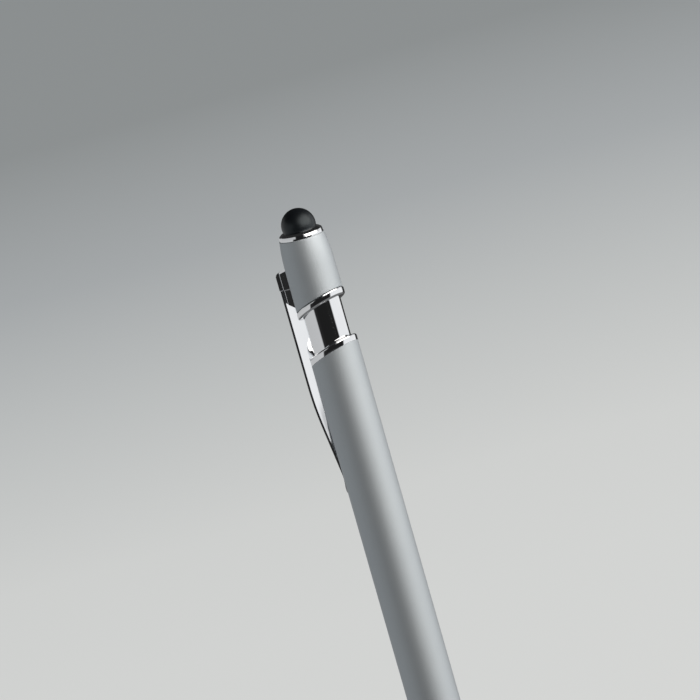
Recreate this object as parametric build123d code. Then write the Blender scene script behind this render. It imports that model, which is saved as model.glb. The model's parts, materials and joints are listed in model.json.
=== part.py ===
from build123d import *
import math
import os

# Push-cap ballpoint pen with a rubber stylus on its cap, in millimetres.
# Frame: +Z runs along the pen from the writing end to the stylus, z = 0 is the nose
# opening on the pen's axis, and the clip stands on the -X side.

# Modelling limits
NEAR = 0.01               # how close to a surface counts as on it
ROUND_SHARE = 0.8         # most of a wall that a rounding may take

# Fits and running clearances, each on the radius or along the axis
FIXED_FIT = 0.02          # pieces pressed or glued together
GLIDE = 0.07              # cap sleeve on the inner tube
CAM_PLAY = 0.15           # between the moulded pieces of the click cam
REST_PLAY = 0.10          # axial play of the cam pieces at rest
STOP_ROOM = 0.40          # what is left at the end of the stroke
CLIP_SEAT_GAP = 0.06      # clip base over the cap
CLIP_TIP_GAP = 0.12       # clip tip over the barrel

# Stroke of the cap and the oblique cut that the cap and the barrel share
STROKE = 7.5
CLOSED_GAP = 0.8          # what is left of the open gap when the cap is pushed home
CUT_SLOPE = 0.40          # rise of both oblique ends towards +X, per millimetre

# Nose cone and front bush
NOSE_LENGTH = 16.0
NOSE_R = 4.9
NOSE_COLLAR_LENGTH = 2.6  # cylindrical band at the root of the cone
NOSE_TIP_R = 1.75
NOSE_BULGE = 0.45         # how far the cone's side bows outwards
NOSE_TIP_ROUND = 0.35
NOSE_SPIGOT_R = 3.45
NOSE_SPIGOT_LENGTH = 7.0
SPRING_LEDGE_Z = 6.5
SPRING_ROOM = 0.25        # nose bore round the spring
POINT_ROOM = 0.15         # nose opening round the point
BUSH_LENGTH = 9.0
BUSH_SETBACK = 0.5

# Barrel
BARREL_R = 5.2
BARREL_LENGTH = 93.5      # on the axis, up to its trim ring
BARREL_FRONT_CHAMFER = 0.3
BARREL_RING_H = 1.45
BARREL_RING_ROUND = 0.35

# Inner tube, on which the cap glides
TUBE_R = 4.12
TUBE_WALL = 0.4

# Cap
CAP_RING_H = 1.6
CAP_RING_R = 5.27
CAP_RING_ROUND = 0.5
CAP_R = 5.15              # at the lower edge
CAP_SHOULDER_R = 5.1      # where the rounded upper part starts
CAP_SHOULDER_DROP = 6.0
CAP_TOP_R = 4.62
CAP_LENGTH = 13.42        # on the axis, above its trim ring
CAP_TOP_WALL = 1.6
CAP_EDGE_ROUND = 0.15
SLEEVE_WALL = 0.42

# Stylus and its collar
STYLUS_R = 3.5
STYLUS_RISE = 2.23        # dome centre above the cap
STYLUS_WALL = 0.9
NECK_R = 2.15
NECK_BORE_R = 1.25
NECK_FLANGE_R = 2.8
NECK_FLANGE_H = 0.8
COLLAR_R = 4.5            # at the cap
COLLAR_BAND_H = 0.9
COLLAR_BAND_TOP_R = 4.28
COLLAR_TOP_H = 1.4        # top annulus above the cap
COLLAR_FLAT_R = 3.55
COLLAR_CROWN_DIP = 0.18   # middle of the crowned annulus below its top
COLLAR_SPIGOT_R = 2.9
COLLAR_SPIGOT_LENGTH = 2.4

# Pusher
PUSHER_HEAD_R = 3.5
PUSHER_HEAD_H = 4.6
PUSHER_STEM_R = 2.5
PUSHER_BORE_R = 1.5
SPLINE_LENGTH = 4.0
SPLINE_R = 3.1
CROWN_TEETH = 8
CROWN_DEPTH = 0.8
CROWN_LENGTH = 1.4        # stem below the splines, which carries the teeth

# Click cam
CAM_SLOTS = 4
SLOT_DEG = 42.0
SLOT_SIDE_PLAY_DEG = 4.0
HOUSING_COLLAR_H = 2.0
HOUSING_FLANGE_H = 1.0
FIN_LENGTH = 3.2
FIN_RISE = 0.55           # slope across a fin's top and a rib's foot, per millimetre
LATCH_ROOM = 0.9          # fins pass the ribs' feet by this at full stroke
ROTOR_R = 2.45
ROTOR_SPIGOT_R = 1.3
ROTOR_SPIGOT_LENGTH = 4.0
ROTOR_TAIL_R = 2.3
ROTOR_TAIL_LENGTH = 3.0
SOCKET_DEPTH = 4.0
SOCKET_ROOM = 0.05

# Refill
REFILL_R = 1.5
REFILL_WALL = 0.3
POINT_SETBACK = 3.2       # ball inside the nose opening when drawn in
BALL_R = 0.5
BALL_ROOM = 0.03
BALL_SHOWS = 0.3
POINT_LIP_R = 0.64
POINT_R = 1.15
POINT_CONE_LENGTH = 2.2
POINT_LENGTH = 7.0
POINT_TAIL_R = 0.85
POINT_TAIL_LENGTH = 3.0
INK_CHANNEL_R = 0.3
HOLDER_SHOULDER_R = 2.05
HOLDER_SHOULDER_H = 1.0
HOLDER_TAIL_LENGTH = 4.0
HOLDER_RISE = 5.0         # the spring's shoulder above the nose's root
INK_LENGTH = 62.0

# Refill spring
SPRING_TURNS = 9
WIRE_R = 0.2
WIRE_SIDES = 6            # flats round the wire
SPRING_R = 1.85           # to the middle of the wire
SPRING_PROBES = 48        # points to a turn where the gap is measured

# Clip
CLIP_W = 5.0
CLIP_HEAD_W = 5.5
CLIP_TIP_W = 3.8
CLIP_BLANK_W = 6.4        # strip before its front view is cut
CLIP_T = 0.45
CLIP_REACH = 8.2          # middle of the outer face, from the pen's axis
CLIP_CURVE_R = 5.6        # outer face, in cross section
CLIP_LENGTH = 47.5
CLIP_HEAD_RISE = 8.25     # top outer edge above the cap's trim ring, on the axis
CLIP_HEAD_H = 5.9         # down to the inner face of the arm
CLIP_CHEEK_H = 3.35       # wider upper part of the head
CLIP_TOP_SLOPE = 0.3      # head top, rising towards the cap
CLIP_FOOT_SLOPE = 0.78    # head foot, falling towards the cap
CLIP_LEAN_LENGTH = 15.5   # stretch that leans in, above the touch-down
CLIP_TOUCH_RISE = 4.0     # where the arm touches down, above its end
CLIP_TIP_FLARE = 0.6
CLIP_BEND_R = 60.0
CLIP_TOUCH_R = 5.0
CLIP_CORNER_ROUND = 1.0   # top outer corner of the head, in side view
CLIP_ROOT_W = 4.9         # root at the strip
CLIP_NECK_W = 3.0         # root at the cap
CLIP_NECK_REACH = 5.4     # where the root is down to that width, from the pen's axis
LUG_W = 2.8
LUG_H = 4.6
LUG_DROP = 1.6            # lug top below the head's top outer edge
LUG_TUBE_ROOM = 0.2
LUG_SIDE_ROOM = 0.08
LUG_END_ROOM = 0.14

# Levels along the axis
barrel_z = NOSE_LENGTH
barrel_top_z = barrel_z + BARREL_LENGTH
barrel_ring_top_z = barrel_top_z + BARREL_RING_H
cap_ring_z = barrel_ring_top_z + STROKE + CLOSED_GAP
cap_z = cap_ring_z + CAP_RING_H
cap_top_z = cap_z + CAP_LENGTH
cap_ceiling_z = cap_top_z - CAP_TOP_WALL
shoulder_z = cap_top_z - CAP_SHOULDER_DROP
dome_z = cap_top_z + STYLUS_RISE
collar_top_z = cap_top_z + COLLAR_TOP_H
collar_foot_z = cap_top_z - COLLAR_SPIGOT_LENGTH
neck_foot_z = collar_foot_z - NECK_FLANGE_H
pusher_foot_z = cap_ceiling_z - PUSHER_HEAD_H
tube_top_z = cap_ceiling_z - STROKE - STOP_ROOM
housing_top_z = pusher_foot_z - STROKE - STOP_ROOM
slot_top_z = housing_top_z - HOUSING_COLLAR_H
spline_top_z = slot_top_z - REST_PLAY
spline_foot_z = spline_top_z - SPLINE_LENGTH
crown_z = spline_foot_z - CROWN_LENGTH
fin_top_z = crown_z - REST_PLAY
fin_foot_z = fin_top_z - FIN_LENGTH
rib_foot_z = fin_top_z - STROKE + LATCH_ROOM
housing_z = fin_foot_z - STROKE - STOP_ROOM
rotor_z = fin_foot_z - ROTOR_TAIL_LENGTH
refill_top_z = rotor_z + SOCKET_DEPTH
ball_z = POINT_SETBACK + BALL_R
point_lip_z = POINT_SETBACK + BALL_SHOWS
point_top_z = point_lip_z + POINT_LENGTH
holder_shoulder_z = NOSE_LENGTH + HOLDER_RISE
holder_top_z = holder_shoulder_z + HOLDER_SHOULDER_H
ink_z = holder_top_z + HOLDER_TAIL_LENGTH
clip_top_z = cap_ring_z + CLIP_HEAD_RISE
clip_above_z = clip_top_z + CLIP_TOP_SLOPE * CLIP_REACH
clip_end_z = clip_top_z - CLIP_LENGTH
clip_touch_z = clip_end_z + CLIP_TOUCH_RISE
clip_bend_z = clip_touch_z + CLIP_LEAN_LENGTH
clip_cheek_z = clip_top_z - CLIP_CHEEK_H

# Radii that follow from a fit
tube_bore_r = TUBE_R - TUBE_WALL
barrel_bore_r = TUBE_R + FIXED_FIT
sleeve_bore_r = TUBE_R + GLIDE
sleeve_r = sleeve_bore_r + SLEEVE_WALL
cap_bore_r = sleeve_r + FIXED_FIT
cap_neck_r = sleeve_bore_r + FIXED_FIT
collar_bore_r = NECK_R + FIXED_FIT
spigot_hole_r = COLLAR_SPIGOT_R + FIXED_FIT
housing_r = tube_bore_r - FIXED_FIT
slot_r = SPLINE_R + CAM_PLAY
rib_r = PUSHER_STEM_R + CAM_PLAY
refill_bore_r = REFILL_R - REFILL_WALL
nose_bore_r = SPRING_R + WIRE_R + SPRING_ROOM
nose_tip_bore_r = POINT_R + POINT_ROOM
bush_bore_r = NOSE_SPIGOT_R + FIXED_FIT
bush_r = barrel_bore_r - FIXED_FIT
lug_r = TUBE_R + LUG_TUBE_ROOM


def turned(*points):
    """Solid of revolution about the pen's axis from (radius, z) corners."""
    return revolve(Plane.XZ * make_face(Polyline(*points, close=True)), axis=Axis.Z)


def ring(outer_r, inner_r, z0, z1):
    """Plain turned tube between two levels."""
    return turned((inner_r, z0), (outer_r, z0), (outer_r, z1), (inner_r, z1))


def rod(r, z0, z1):
    """Plain turned rod between two levels."""
    return turned((0, z0), (r, z0), (r, z1), (0, z1))


def rounding(r, wall):
    """Rounding radius r, limited by the wall that carries it."""
    return min(r, ROUND_SHARE * wall)


def oblique(z):
    """Plane of the oblique cut that crosses the axis at z."""
    return Plane(origin=(0, 0, z), z_dir=(-CUT_SLOPE, 0, 1))


def sector(inner_r, outer_r, width_deg, z0, z1, middle_deg):
    """Block of a turned ring, width_deg wide, round middle_deg."""
    corners = Polyline((inner_r, z0), (outer_r, z0), (outer_r, z1), (inner_r, z1), close=True)
    block = revolve(Plane.XZ * make_face(corners), axis=Axis.Z, revolution_arc=width_deg)
    return Rot(0, 0, middle_deg - width_deg / 2) * block


def ramp(z, middle_deg):
    """Plane through the axis level z that climbs round the axis at middle_deg."""
    angle = math.radians(middle_deg)
    around = Vector(-math.sin(angle), math.cos(angle), 0)
    return Plane(origin=(0, 0, z), z_dir=Vector(0, 0, 1) - around * FIN_RISE)


def slot_angles(offset=0.0):
    """Middle angles of the cam's slots."""
    return [offset + 360 / CAM_SLOTS * k for k in range(CAM_SLOTS)]


def crown_prisms(z, depth, half_width):
    """Radial V ridges, one to a tooth, standing on the level z and reaching past the stem."""
    outline = Polyline((-half_width, z), (half_width, z), (0, z + depth), close=True)
    ridge = extrude(Plane.YZ * make_face(outline), SPLINE_R)
    return [Rot(0, 0, 360 / CROWN_TEETH * k) * ridge for k in range(CROWN_TEETH)]


# Nose and barrel
def make_nose_cone():
    collar_z = NOSE_LENGTH - NOSE_COLLAR_LENGTH
    side_r = (NOSE_R + NOSE_TIP_R) / 2 + NOSE_BULGE
    spigot_z = NOSE_LENGTH + NOSE_SPIGOT_LENGTH
    side = ThreePointArc((NOSE_TIP_R, 0), (side_r, collar_z / 2), (NOSE_R, collar_z))
    rest = Polyline(
        (NOSE_R, collar_z),
        (NOSE_R, NOSE_LENGTH),
        (NOSE_SPIGOT_R, NOSE_LENGTH),
        (NOSE_SPIGOT_R, spigot_z),
        (nose_bore_r, spigot_z),
        (nose_bore_r, SPRING_LEDGE_Z),
        (nose_tip_bore_r, SPRING_LEDGE_Z),
        (nose_tip_bore_r, 0),
        (NOSE_TIP_R, 0),
    )
    cone = revolve(Plane.XZ * make_face([side, rest]), axis=Axis.Z)
    tip_edge = cone.edges().filter_by(GeomType.CIRCLE).group_by(Axis.Z)[0].sort_by(SortBy.RADIUS)[-1]
    return fillet(tip_edge, rounding(NOSE_TIP_ROUND, NOSE_TIP_R - nose_tip_bore_r))


def make_barrel_bush():
    z0 = barrel_z + BUSH_SETBACK
    return ring(bush_r, bush_bore_r, z0, z0 + BUSH_LENGTH)


def make_barrel():
    reach = BARREL_R * CUT_SLOPE
    blank = ring(BARREL_R, barrel_bore_r, barrel_z, barrel_top_z + reach)
    front = blank.edges().filter_by(GeomType.CIRCLE).group_by(Axis.Z)[0].sort_by(SortBy.RADIUS)[-1]
    return split(chamfer(front, BARREL_FRONT_CHAMFER), bisect_by=oblique(barrel_top_z), keep=Keep.BOTTOM)


def oblique_ring(outer_r, inner_r, z0, height):
    """Turned ring cut off between two parallel oblique planes."""
    reach = outer_r * CUT_SLOPE
    blank = ring(outer_r, inner_r, z0 - reach, z0 + height + reach)
    lower = split(blank, bisect_by=oblique(z0), keep=Keep.TOP)
    return split(lower, bisect_by=oblique(z0 + height), keep=Keep.BOTTOM)


def outer_rims(body, z_low, z_high, outer_r):
    """Rims of an oblique ring on its outer wall, as (lower, upper)."""
    def on_rim(edge, z):
        middle = edge.position_at(0.5)
        off_wall = math.hypot(middle.X, middle.Y) - outer_r
        off_plane = middle.Z - z - CUT_SLOPE * middle.X
        return abs(off_wall) < NEAR and abs(off_plane) < NEAR

    edges = body.edges()
    return [e for e in edges if on_rim(e, z_low)], [e for e in edges if on_rim(e, z_high)]


def make_barrel_trim_ring():
    body = oblique_ring(BARREL_R, barrel_bore_r, barrel_top_z, BARREL_RING_H)
    upper = outer_rims(body, barrel_top_z, barrel_ring_top_z, BARREL_R)[1]
    return fillet(upper, rounding(BARREL_RING_ROUND, BARREL_RING_H))


def make_inner_tube():
    return ring(TUBE_R, tube_bore_r, housing_z + HOUSING_FLANGE_H, tube_top_z)


# Cap
def cap_blank(grow=0.0):
    """Cap's outer form before its oblique cut, grown outwards by grow."""
    low_z = cap_z - CAP_R * CUT_SLOPE
    side = Line((CAP_R + grow, low_z), (CAP_SHOULDER_R + grow, shoulder_z))
    crown = TangentArc((CAP_SHOULDER_R + grow, shoulder_z), (CAP_TOP_R + grow, cap_top_z), tangent=side % 1)
    rest = Polyline((CAP_TOP_R + grow, cap_top_z), (0, cap_top_z), (0, low_z), (CAP_R + grow, low_z))
    return revolve(Plane.XZ * make_face([side, crown, rest]), axis=Axis.Z)


def lug_block(side_room=0.0, end_room=0.0):
    """Clip lug that passes through the cap's side, or its slot when given room."""
    top = clip_top_z - LUG_DROP + end_room
    foot = clip_top_z - LUG_DROP - LUG_H - end_room
    width = LUG_W + 2 * side_room
    reach = CLIP_REACH - CLIP_T / 2
    return Pos(-reach / 2, 0, (top + foot) / 2) * Box(reach, width, top - foot)


def make_push_cap():
    body = cap_blank()
    body = fillet(body.edges().group_by(Axis.Z)[-1], CAP_EDGE_ROUND)
    low_z = cap_z - CAP_R * CUT_SLOPE
    body -= rod(cap_bore_r, low_z, shoulder_z)
    body -= rod(cap_neck_r, shoulder_z, cap_ceiling_z)
    body -= rod(spigot_hole_r, cap_ceiling_z, cap_top_z)
    body -= lug_block(LUG_SIDE_ROOM, LUG_END_ROOM)
    return split(body, bisect_by=oblique(cap_z), keep=Keep.TOP)


def make_glide_sleeve():
    low_z = cap_z - sleeve_r * CUT_SLOPE
    body = ring(sleeve_r, sleeve_bore_r, low_z, shoulder_z)
    body -= lug_block(LUG_SIDE_ROOM, LUG_END_ROOM)
    return split(body, bisect_by=oblique(cap_z), keep=Keep.TOP)


def make_cap_trim_ring():
    body = oblique_ring(CAP_RING_R, sleeve_bore_r, cap_ring_z, CAP_RING_H)
    lower, upper = outer_rims(body, cap_ring_z, cap_z, CAP_RING_R)
    return fillet(lower + upper, rounding(CAP_RING_ROUND, CAP_RING_H / 2))


# Stylus
def make_stylus_collar():
    band_z = cap_top_z + COLLAR_BAND_H
    middle = ((COLLAR_BAND_TOP_R + COLLAR_FLAT_R) / 2, collar_top_z - COLLAR_CROWN_DIP)
    crown = ThreePointArc((COLLAR_BAND_TOP_R, band_z), middle, (COLLAR_FLAT_R, collar_top_z))
    rest = Polyline(
        (COLLAR_FLAT_R, collar_top_z),
        (collar_bore_r, collar_top_z),
        (collar_bore_r, collar_foot_z),
        (COLLAR_SPIGOT_R, collar_foot_z),
        (COLLAR_SPIGOT_R, cap_top_z),
        (COLLAR_R, cap_top_z),
        (COLLAR_BAND_TOP_R, band_z),
    )
    return revolve(Plane.XZ * make_face([crown, rest]), axis=Axis.Z)


def make_stylus_tip():
    dome = split(Pos(0, 0, dome_z) * Sphere(STYLUS_R), bisect_by=Plane.XY.offset(collar_top_z), keep=Keep.TOP)
    body = dome + rod(NECK_R, neck_foot_z, collar_top_z) + rod(NECK_FLANGE_R, neck_foot_z, collar_foot_z)
    floor = Plane.XY.offset(collar_top_z + STYLUS_WALL)
    body -= split(Pos(0, 0, dome_z) * Sphere(STYLUS_R - STYLUS_WALL), bisect_by=floor, keep=Keep.TOP)
    return body - rod(NECK_BORE_R, neck_foot_z, dome_z)


# Click cam
def make_pusher():
    body = turned(
        (PUSHER_BORE_R, crown_z),
        (PUSHER_STEM_R, crown_z),
        (PUSHER_STEM_R, pusher_foot_z),
        (PUSHER_HEAD_R, pusher_foot_z),
        (PUSHER_HEAD_R, cap_ceiling_z),
        (spigot_hole_r, cap_ceiling_z),
        (spigot_hole_r, neck_foot_z),
        (0, neck_foot_z),
        (0, pusher_foot_z),
        (PUSHER_BORE_R, pusher_foot_z),
    )
    width = SLOT_DEG - SLOT_SIDE_PLAY_DEG
    for angle in slot_angles():
        body += sector(PUSHER_STEM_R - FIXED_FIT, SPLINE_R, width, spline_foot_z, spline_top_z, angle)
    tooth_half = math.pi * PUSHER_BORE_R / CROWN_TEETH
    for groove in crown_prisms(crown_z, CROWN_DEPTH, tooth_half):
        body -= groove
    return body


def make_cam_housing():
    flange_top_z = housing_z + HOUSING_FLANGE_H
    body = turned(
        (slot_r, housing_z),
        (bush_r, housing_z),
        (bush_r, flange_top_z),
        (housing_r, flange_top_z),
        (housing_r, housing_top_z),
        (rib_r, housing_top_z),
        (rib_r, slot_top_z),
        (slot_r, slot_top_z),
    )
    rib_deg = 360 / CAM_SLOTS - SLOT_DEG
    for angle in slot_angles(180 / CAM_SLOTS):
        drop = slot_r * FIN_RISE
        rib = sector(rib_r, slot_r + FIXED_FIT, rib_deg, rib_foot_z - drop, slot_top_z, angle)
        body += split(rib, bisect_by=ramp(rib_foot_z, angle), keep=Keep.TOP)
    return body


def make_rotor():
    body = turned(
        (0, refill_top_z),
        (REFILL_R + SOCKET_ROOM, refill_top_z),
        (REFILL_R + SOCKET_ROOM, rotor_z),
        (ROTOR_TAIL_R, rotor_z),
        (ROTOR_TAIL_R, fin_foot_z),
        (ROTOR_R, fin_foot_z),
        (ROTOR_R, fin_top_z),
        (ROTOR_SPIGOT_R, fin_top_z),
        (ROTOR_SPIGOT_R, fin_top_z + ROTOR_SPIGOT_LENGTH),
        (0, fin_top_z + ROTOR_SPIGOT_LENGTH),
    )
    width = SLOT_DEG - SLOT_SIDE_PLAY_DEG
    for angle in slot_angles():
        fin = sector(ROTOR_R - FIXED_FIT, SPLINE_R, width, fin_foot_z, fin_top_z, angle)
        drop = SPLINE_R * math.tan(math.radians(width / 2)) * FIN_RISE
        body += split(fin, bisect_by=ramp(fin_top_z - drop, angle), keep=Keep.BOTTOM)
    tooth_half = math.pi * PUSHER_BORE_R / CROWN_TEETH
    for ridge in crown_prisms(fin_top_z, CROWN_DEPTH, tooth_half - REST_PLAY / 2):
        body += ridge & ring(ROTOR_R, PUSHER_BORE_R, fin_top_z, fin_top_z + CROWN_DEPTH)
    return body


# Refill
def make_writing_ball():
    return Pos(0, 0, ball_z) * Sphere(BALL_R)


def make_refill_point():
    cone_top_z = point_lip_z + POINT_CONE_LENGTH
    tail_z = point_top_z + POINT_TAIL_LENGTH
    body = turned(
        (INK_CHANNEL_R, point_lip_z),
        (POINT_LIP_R, point_lip_z),
        (POINT_R, cone_top_z),
        (POINT_R, point_top_z),
        (POINT_TAIL_R, point_top_z),
        (POINT_TAIL_R, tail_z),
        (INK_CHANNEL_R, tail_z),
    )
    return body - Pos(0, 0, ball_z) * Sphere(BALL_R + BALL_ROOM)


def make_point_holder():
    tail_z = point_top_z + POINT_TAIL_LENGTH
    tail_bore_r = POINT_TAIL_R + FIXED_FIT
    holder_tail_r = refill_bore_r - FIXED_FIT
    return turned(
        (tail_bore_r, point_top_z),
        (POINT_R, point_top_z),
        (POINT_R, holder_shoulder_z),
        (HOLDER_SHOULDER_R, holder_shoulder_z),
        (HOLDER_SHOULDER_R, holder_top_z),
        (holder_tail_r, holder_top_z),
        (holder_tail_r, ink_z),
        (INK_CHANNEL_R, ink_z),
        (INK_CHANNEL_R, tail_z),
        (tail_bore_r, tail_z),
    )


def make_refill_tube():
    return ring(REFILL_R, refill_bore_r, holder_top_z, refill_top_z)


def make_ink_column():
    return rod(refill_bore_r - FIXED_FIT, ink_z, ink_z + INK_LENGTH)


# Spring
def helix_point(turn, z0, pitch):
    """Point on the spring's middle line and its direction there, turn turns up."""
    angle = 2 * math.pi * turn
    point = Vector(SPRING_R * math.cos(angle), SPRING_R * math.sin(angle), z0 + pitch * turn)
    along = Vector(-math.sin(angle), math.cos(angle), pitch / (2 * math.pi * SPRING_R))
    return point, along.normalized()


def biarc(start, start_dir, end, end_dir):
    """Two arcs that leave start along start_dir and reach end along end_dir."""
    chord = end - start
    lean = chord.dot(start_dir + end_dir)
    turn = 2 * (1 - start_dir.dot(end_dir))
    arm = (math.sqrt(lean * lean + turn * chord.dot(chord)) - lean) / turn
    middle = (start + end + (start_dir - end_dir) * arm) * 0.5
    first = TangentArc(start, middle, tangent=start_dir)
    return [first, TangentArc(middle, end, tangent=first % 1)]


def make_refill_spring():
    z0 = SPRING_LEDGE_Z + WIRE_R + FIXED_FIT
    z1 = holder_shoulder_z - WIRE_R - FIXED_FIT
    wire_d = 2 * WIRE_R
    climb = (z1 - z0) / (SPRING_TURNS + 2 * wire_d / (2 * math.pi * SPRING_R))
    low_z = z0 + climb * wire_d / (2 * math.pi * SPRING_R)
    halves = [helix_point(k / 2, low_z, climb) for k in range(2 * SPRING_TURNS + 1)]
    first, first_dir = halves[0]
    last, last_dir = halves[-1]
    lines = [Line(first - first_dir * wire_d, first)]
    for (start, start_dir), (end, end_dir) in zip(halves, halves[1:]):
        lines += biarc(start, start_dir, end, end_dir)
    lines.append(Line(last, last + last_dir * wire_d))
    path = Wire(lines)
    section = RegularPolygon(WIRE_R, WIRE_SIDES)
    wire = sweep(Plane(origin=path @ 0, z_dir=path % 0) * section, path=path)
    probes = range(SPRING_TURNS * SPRING_PROBES + 1)
    points = [helix_point(k / SPRING_PROBES, low_z, climb)[0] for k in probes]
    far = [(a, b) for i, a in enumerate(points) for b in points[i + SPRING_PROBES // 2:]]
    least = min((a - b).length for a, b in far) - wire_d
    filled = wire.volume / (section.area * path.length)
    print(f"refill_spring: wire {path.length:.1f} mm, least gap to itself {least:.2f} mm, fill {filled:.3f}")
    return wire


# Clip
def clip_line():
    """Middle line of the strip in side view, from above the head to the end, in (x, z)."""
    arm_x = CLIP_T / 2 - CLIP_REACH
    touch_x = -(BARREL_R + CLIP_TIP_GAP + CLIP_T / 2)
    return FilletPolyline(
        (arm_x, clip_above_z),
        (arm_x, clip_bend_z),
        (touch_x, clip_touch_z),
        (touch_x - CLIP_TIP_FLARE, clip_end_z),
        radius=[CLIP_BEND_R, CLIP_TOUCH_R],
    )


def clip_section():
    """Cross section of the strip before it is trimmed, its middle at the origin, hollow to +x."""
    bent = Circle(CLIP_CURVE_R) - Circle(CLIP_CURVE_R - CLIP_T)
    return Pos(CLIP_CURVE_R - CLIP_T / 2, 0) * bent & Rectangle(CLIP_CURVE_R, CLIP_BLANK_W)


def clip_side():
    """Side view that trims the head's top, as a face in (x, z)."""
    edge = -CLIP_REACH - CLIP_T / 4
    depth = CLIP_REACH - lug_r
    trim = make_face(
        Polyline(
            (edge, clip_top_z),
            (-lug_r, clip_top_z + CLIP_TOP_SLOPE * depth),
            (-lug_r, clip_end_z - CLIP_T),
            (edge, clip_end_z - CLIP_T),
            close=True,
        )
    )
    corner = trim.vertices().sort_by(Axis.X)[:2].sort_by(Axis.Y)[-1]
    return fillet(corner, CLIP_CORNER_ROUND)


def clip_root_plan(grow):
    """Top view of the root, from inside the strip to inside the cap's wall, its walls moved out by grow."""
    middle_r = CLIP_CURVE_R - CLIP_T / 2
    wall = CLIP_ROOT_W / 2 + grow
    neck = CLIP_NECK_W / 2 + grow
    strip_x = CLIP_CURVE_R - CLIP_REACH - math.sqrt(middle_r ** 2 - wall ** 2)
    plan = Polyline(
        (CLIP_T / 2 - CLIP_REACH, 0),
        (strip_x, -wall),
        (-CLIP_NECK_REACH, -neck),
        (-lug_r, -neck),
        (-lug_r, neck),
        (-CLIP_NECK_REACH, neck),
        (strip_x, wall),
        close=True,
    )
    return make_face(plan)


def make_clip_root():
    """Block between the strip and the cap, wider above the cheek line, with a foot that falls to the cap."""
    outer_x = -CLIP_REACH
    inner_x = -lug_r + CLIP_T
    foot_z = clip_top_z - CLIP_HEAD_H + CLIP_FOOT_SLOPE * CLIP_T
    low_z = foot_z - CLIP_FOOT_SLOPE * (inner_x - outer_x)
    side = Polyline(
        (outer_x, clip_above_z),
        (inner_x, clip_above_z),
        (inner_x, low_z),
        (outer_x, foot_z),
        close=True,
    )
    block = extrude(Plane.XY.offset(low_z - CLIP_T) * clip_root_plan(0), clip_above_z - low_z)
    cheek_grow = (CLIP_HEAD_W - CLIP_W) / 2
    block += extrude(Plane.XY.offset(clip_cheek_z) * clip_root_plan(cheek_grow), clip_above_z - clip_cheek_z)
    return block & extrude(Plane.XZ * make_face(side), CLIP_BLANK_W, both=True)


def clip_front():
    """Front view of the clip as a face in (y, z)."""
    top_z = clip_above_z + CLIP_T
    tip_r = CLIP_TIP_W / 2
    round_z = clip_end_z + tip_r
    left = Polyline(
        (-tip_r, round_z),
        (-CLIP_W / 2, clip_bend_z),
        (-CLIP_W / 2, clip_cheek_z),
        (-CLIP_HEAD_W / 2, clip_cheek_z),
        (-CLIP_HEAD_W / 2, top_z),
        (CLIP_HEAD_W / 2, top_z),
        (CLIP_HEAD_W / 2, clip_cheek_z),
        (CLIP_W / 2, clip_cheek_z),
        (CLIP_W / 2, clip_bend_z),
        (tip_r, round_z),
    )
    tip = ThreePointArc((tip_r, round_z), (0, clip_end_z), (-tip_r, round_z))
    return make_face([left, tip])


def make_clip():
    line = Plane.XZ * clip_line()
    strip = sweep(Plane(origin=line @ 0, x_dir=(1, 0, 0), z_dir=line % 0) * clip_section(), path=line)
    strip &= extrude(Plane.YZ * clip_front(), -2 * CLIP_REACH)
    body = strip + make_clip_root()
    body &= extrude(Plane.XZ * clip_side(), CLIP_BLANK_W, both=True)
    body -= cap_blank(CLIP_SEAT_GAP)
    body += lug_block() - rod(lug_r, clip_end_z, cap_top_z)
    return body


MAKERS = {
    "stylus_tip": make_stylus_tip,
    "stylus_collar": make_stylus_collar,
    "push_cap": make_push_cap,
    "glide_sleeve": make_glide_sleeve,
    "cap_trim_ring": make_cap_trim_ring,
    "clip": make_clip,
    "pusher": make_pusher,
    "inner_tube": make_inner_tube,
    "cam_housing": make_cam_housing,
    "rotor": make_rotor,
    "barrel": make_barrel,
    "barrel_trim_ring": make_barrel_trim_ring,
    "barrel_bush": make_barrel_bush,
    "nose_cone": make_nose_cone,
    "refill_spring": make_refill_spring,
    "refill_tube": make_refill_tube,
    "ink_column": make_ink_column,
    "point_holder": make_point_holder,
    "refill_point": make_refill_point,
    "writing_ball": make_writing_ball,
}

os.makedirs("parts", exist_ok=True)
for name, make in MAKERS.items():
    export_step(make(), f"parts/{name}.step")
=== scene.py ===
"""Looks of a push-cap stylus pen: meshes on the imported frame, finishes, a pale studio and the camera."""

import json
import logging
import math
from collections.abc import Callable, Iterator, Mapping, Sequence
from contextlib import contextmanager
from dataclasses import dataclass
from enum import Enum

import bpy
from mathutils import Matrix, Vector


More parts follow.
